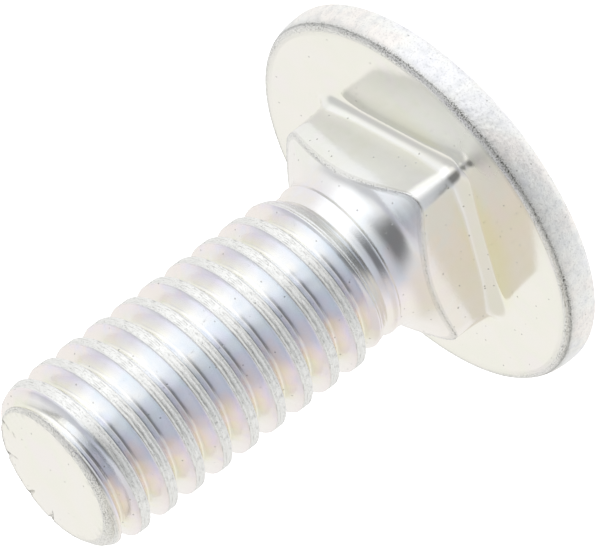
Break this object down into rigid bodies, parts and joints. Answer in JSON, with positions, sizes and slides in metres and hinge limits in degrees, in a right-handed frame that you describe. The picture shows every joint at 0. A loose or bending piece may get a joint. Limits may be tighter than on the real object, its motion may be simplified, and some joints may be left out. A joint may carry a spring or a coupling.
{
  "type": "carriage bolt",
  "caption": "Short zinc-plated carriage bolt with a low domed head, a square neck and a rolled coarse thread.",
  "frame": {"origin": "centre of the flat bearing face under the head, on the bolt's axis", "axes": "+Z along the bolt's axis, from the bearing face to the threaded tip; the flats of the square neck face along X and Y"},
  "size_m": [0.0175, 0.0174, 0.0228],
  "materials": {
    "zinc_plated_steel": "satin"
  },
  "bodies": {
    "root": {"carriage_bolt": "zinc_plated_steel"}
  },
  "joints": []
}
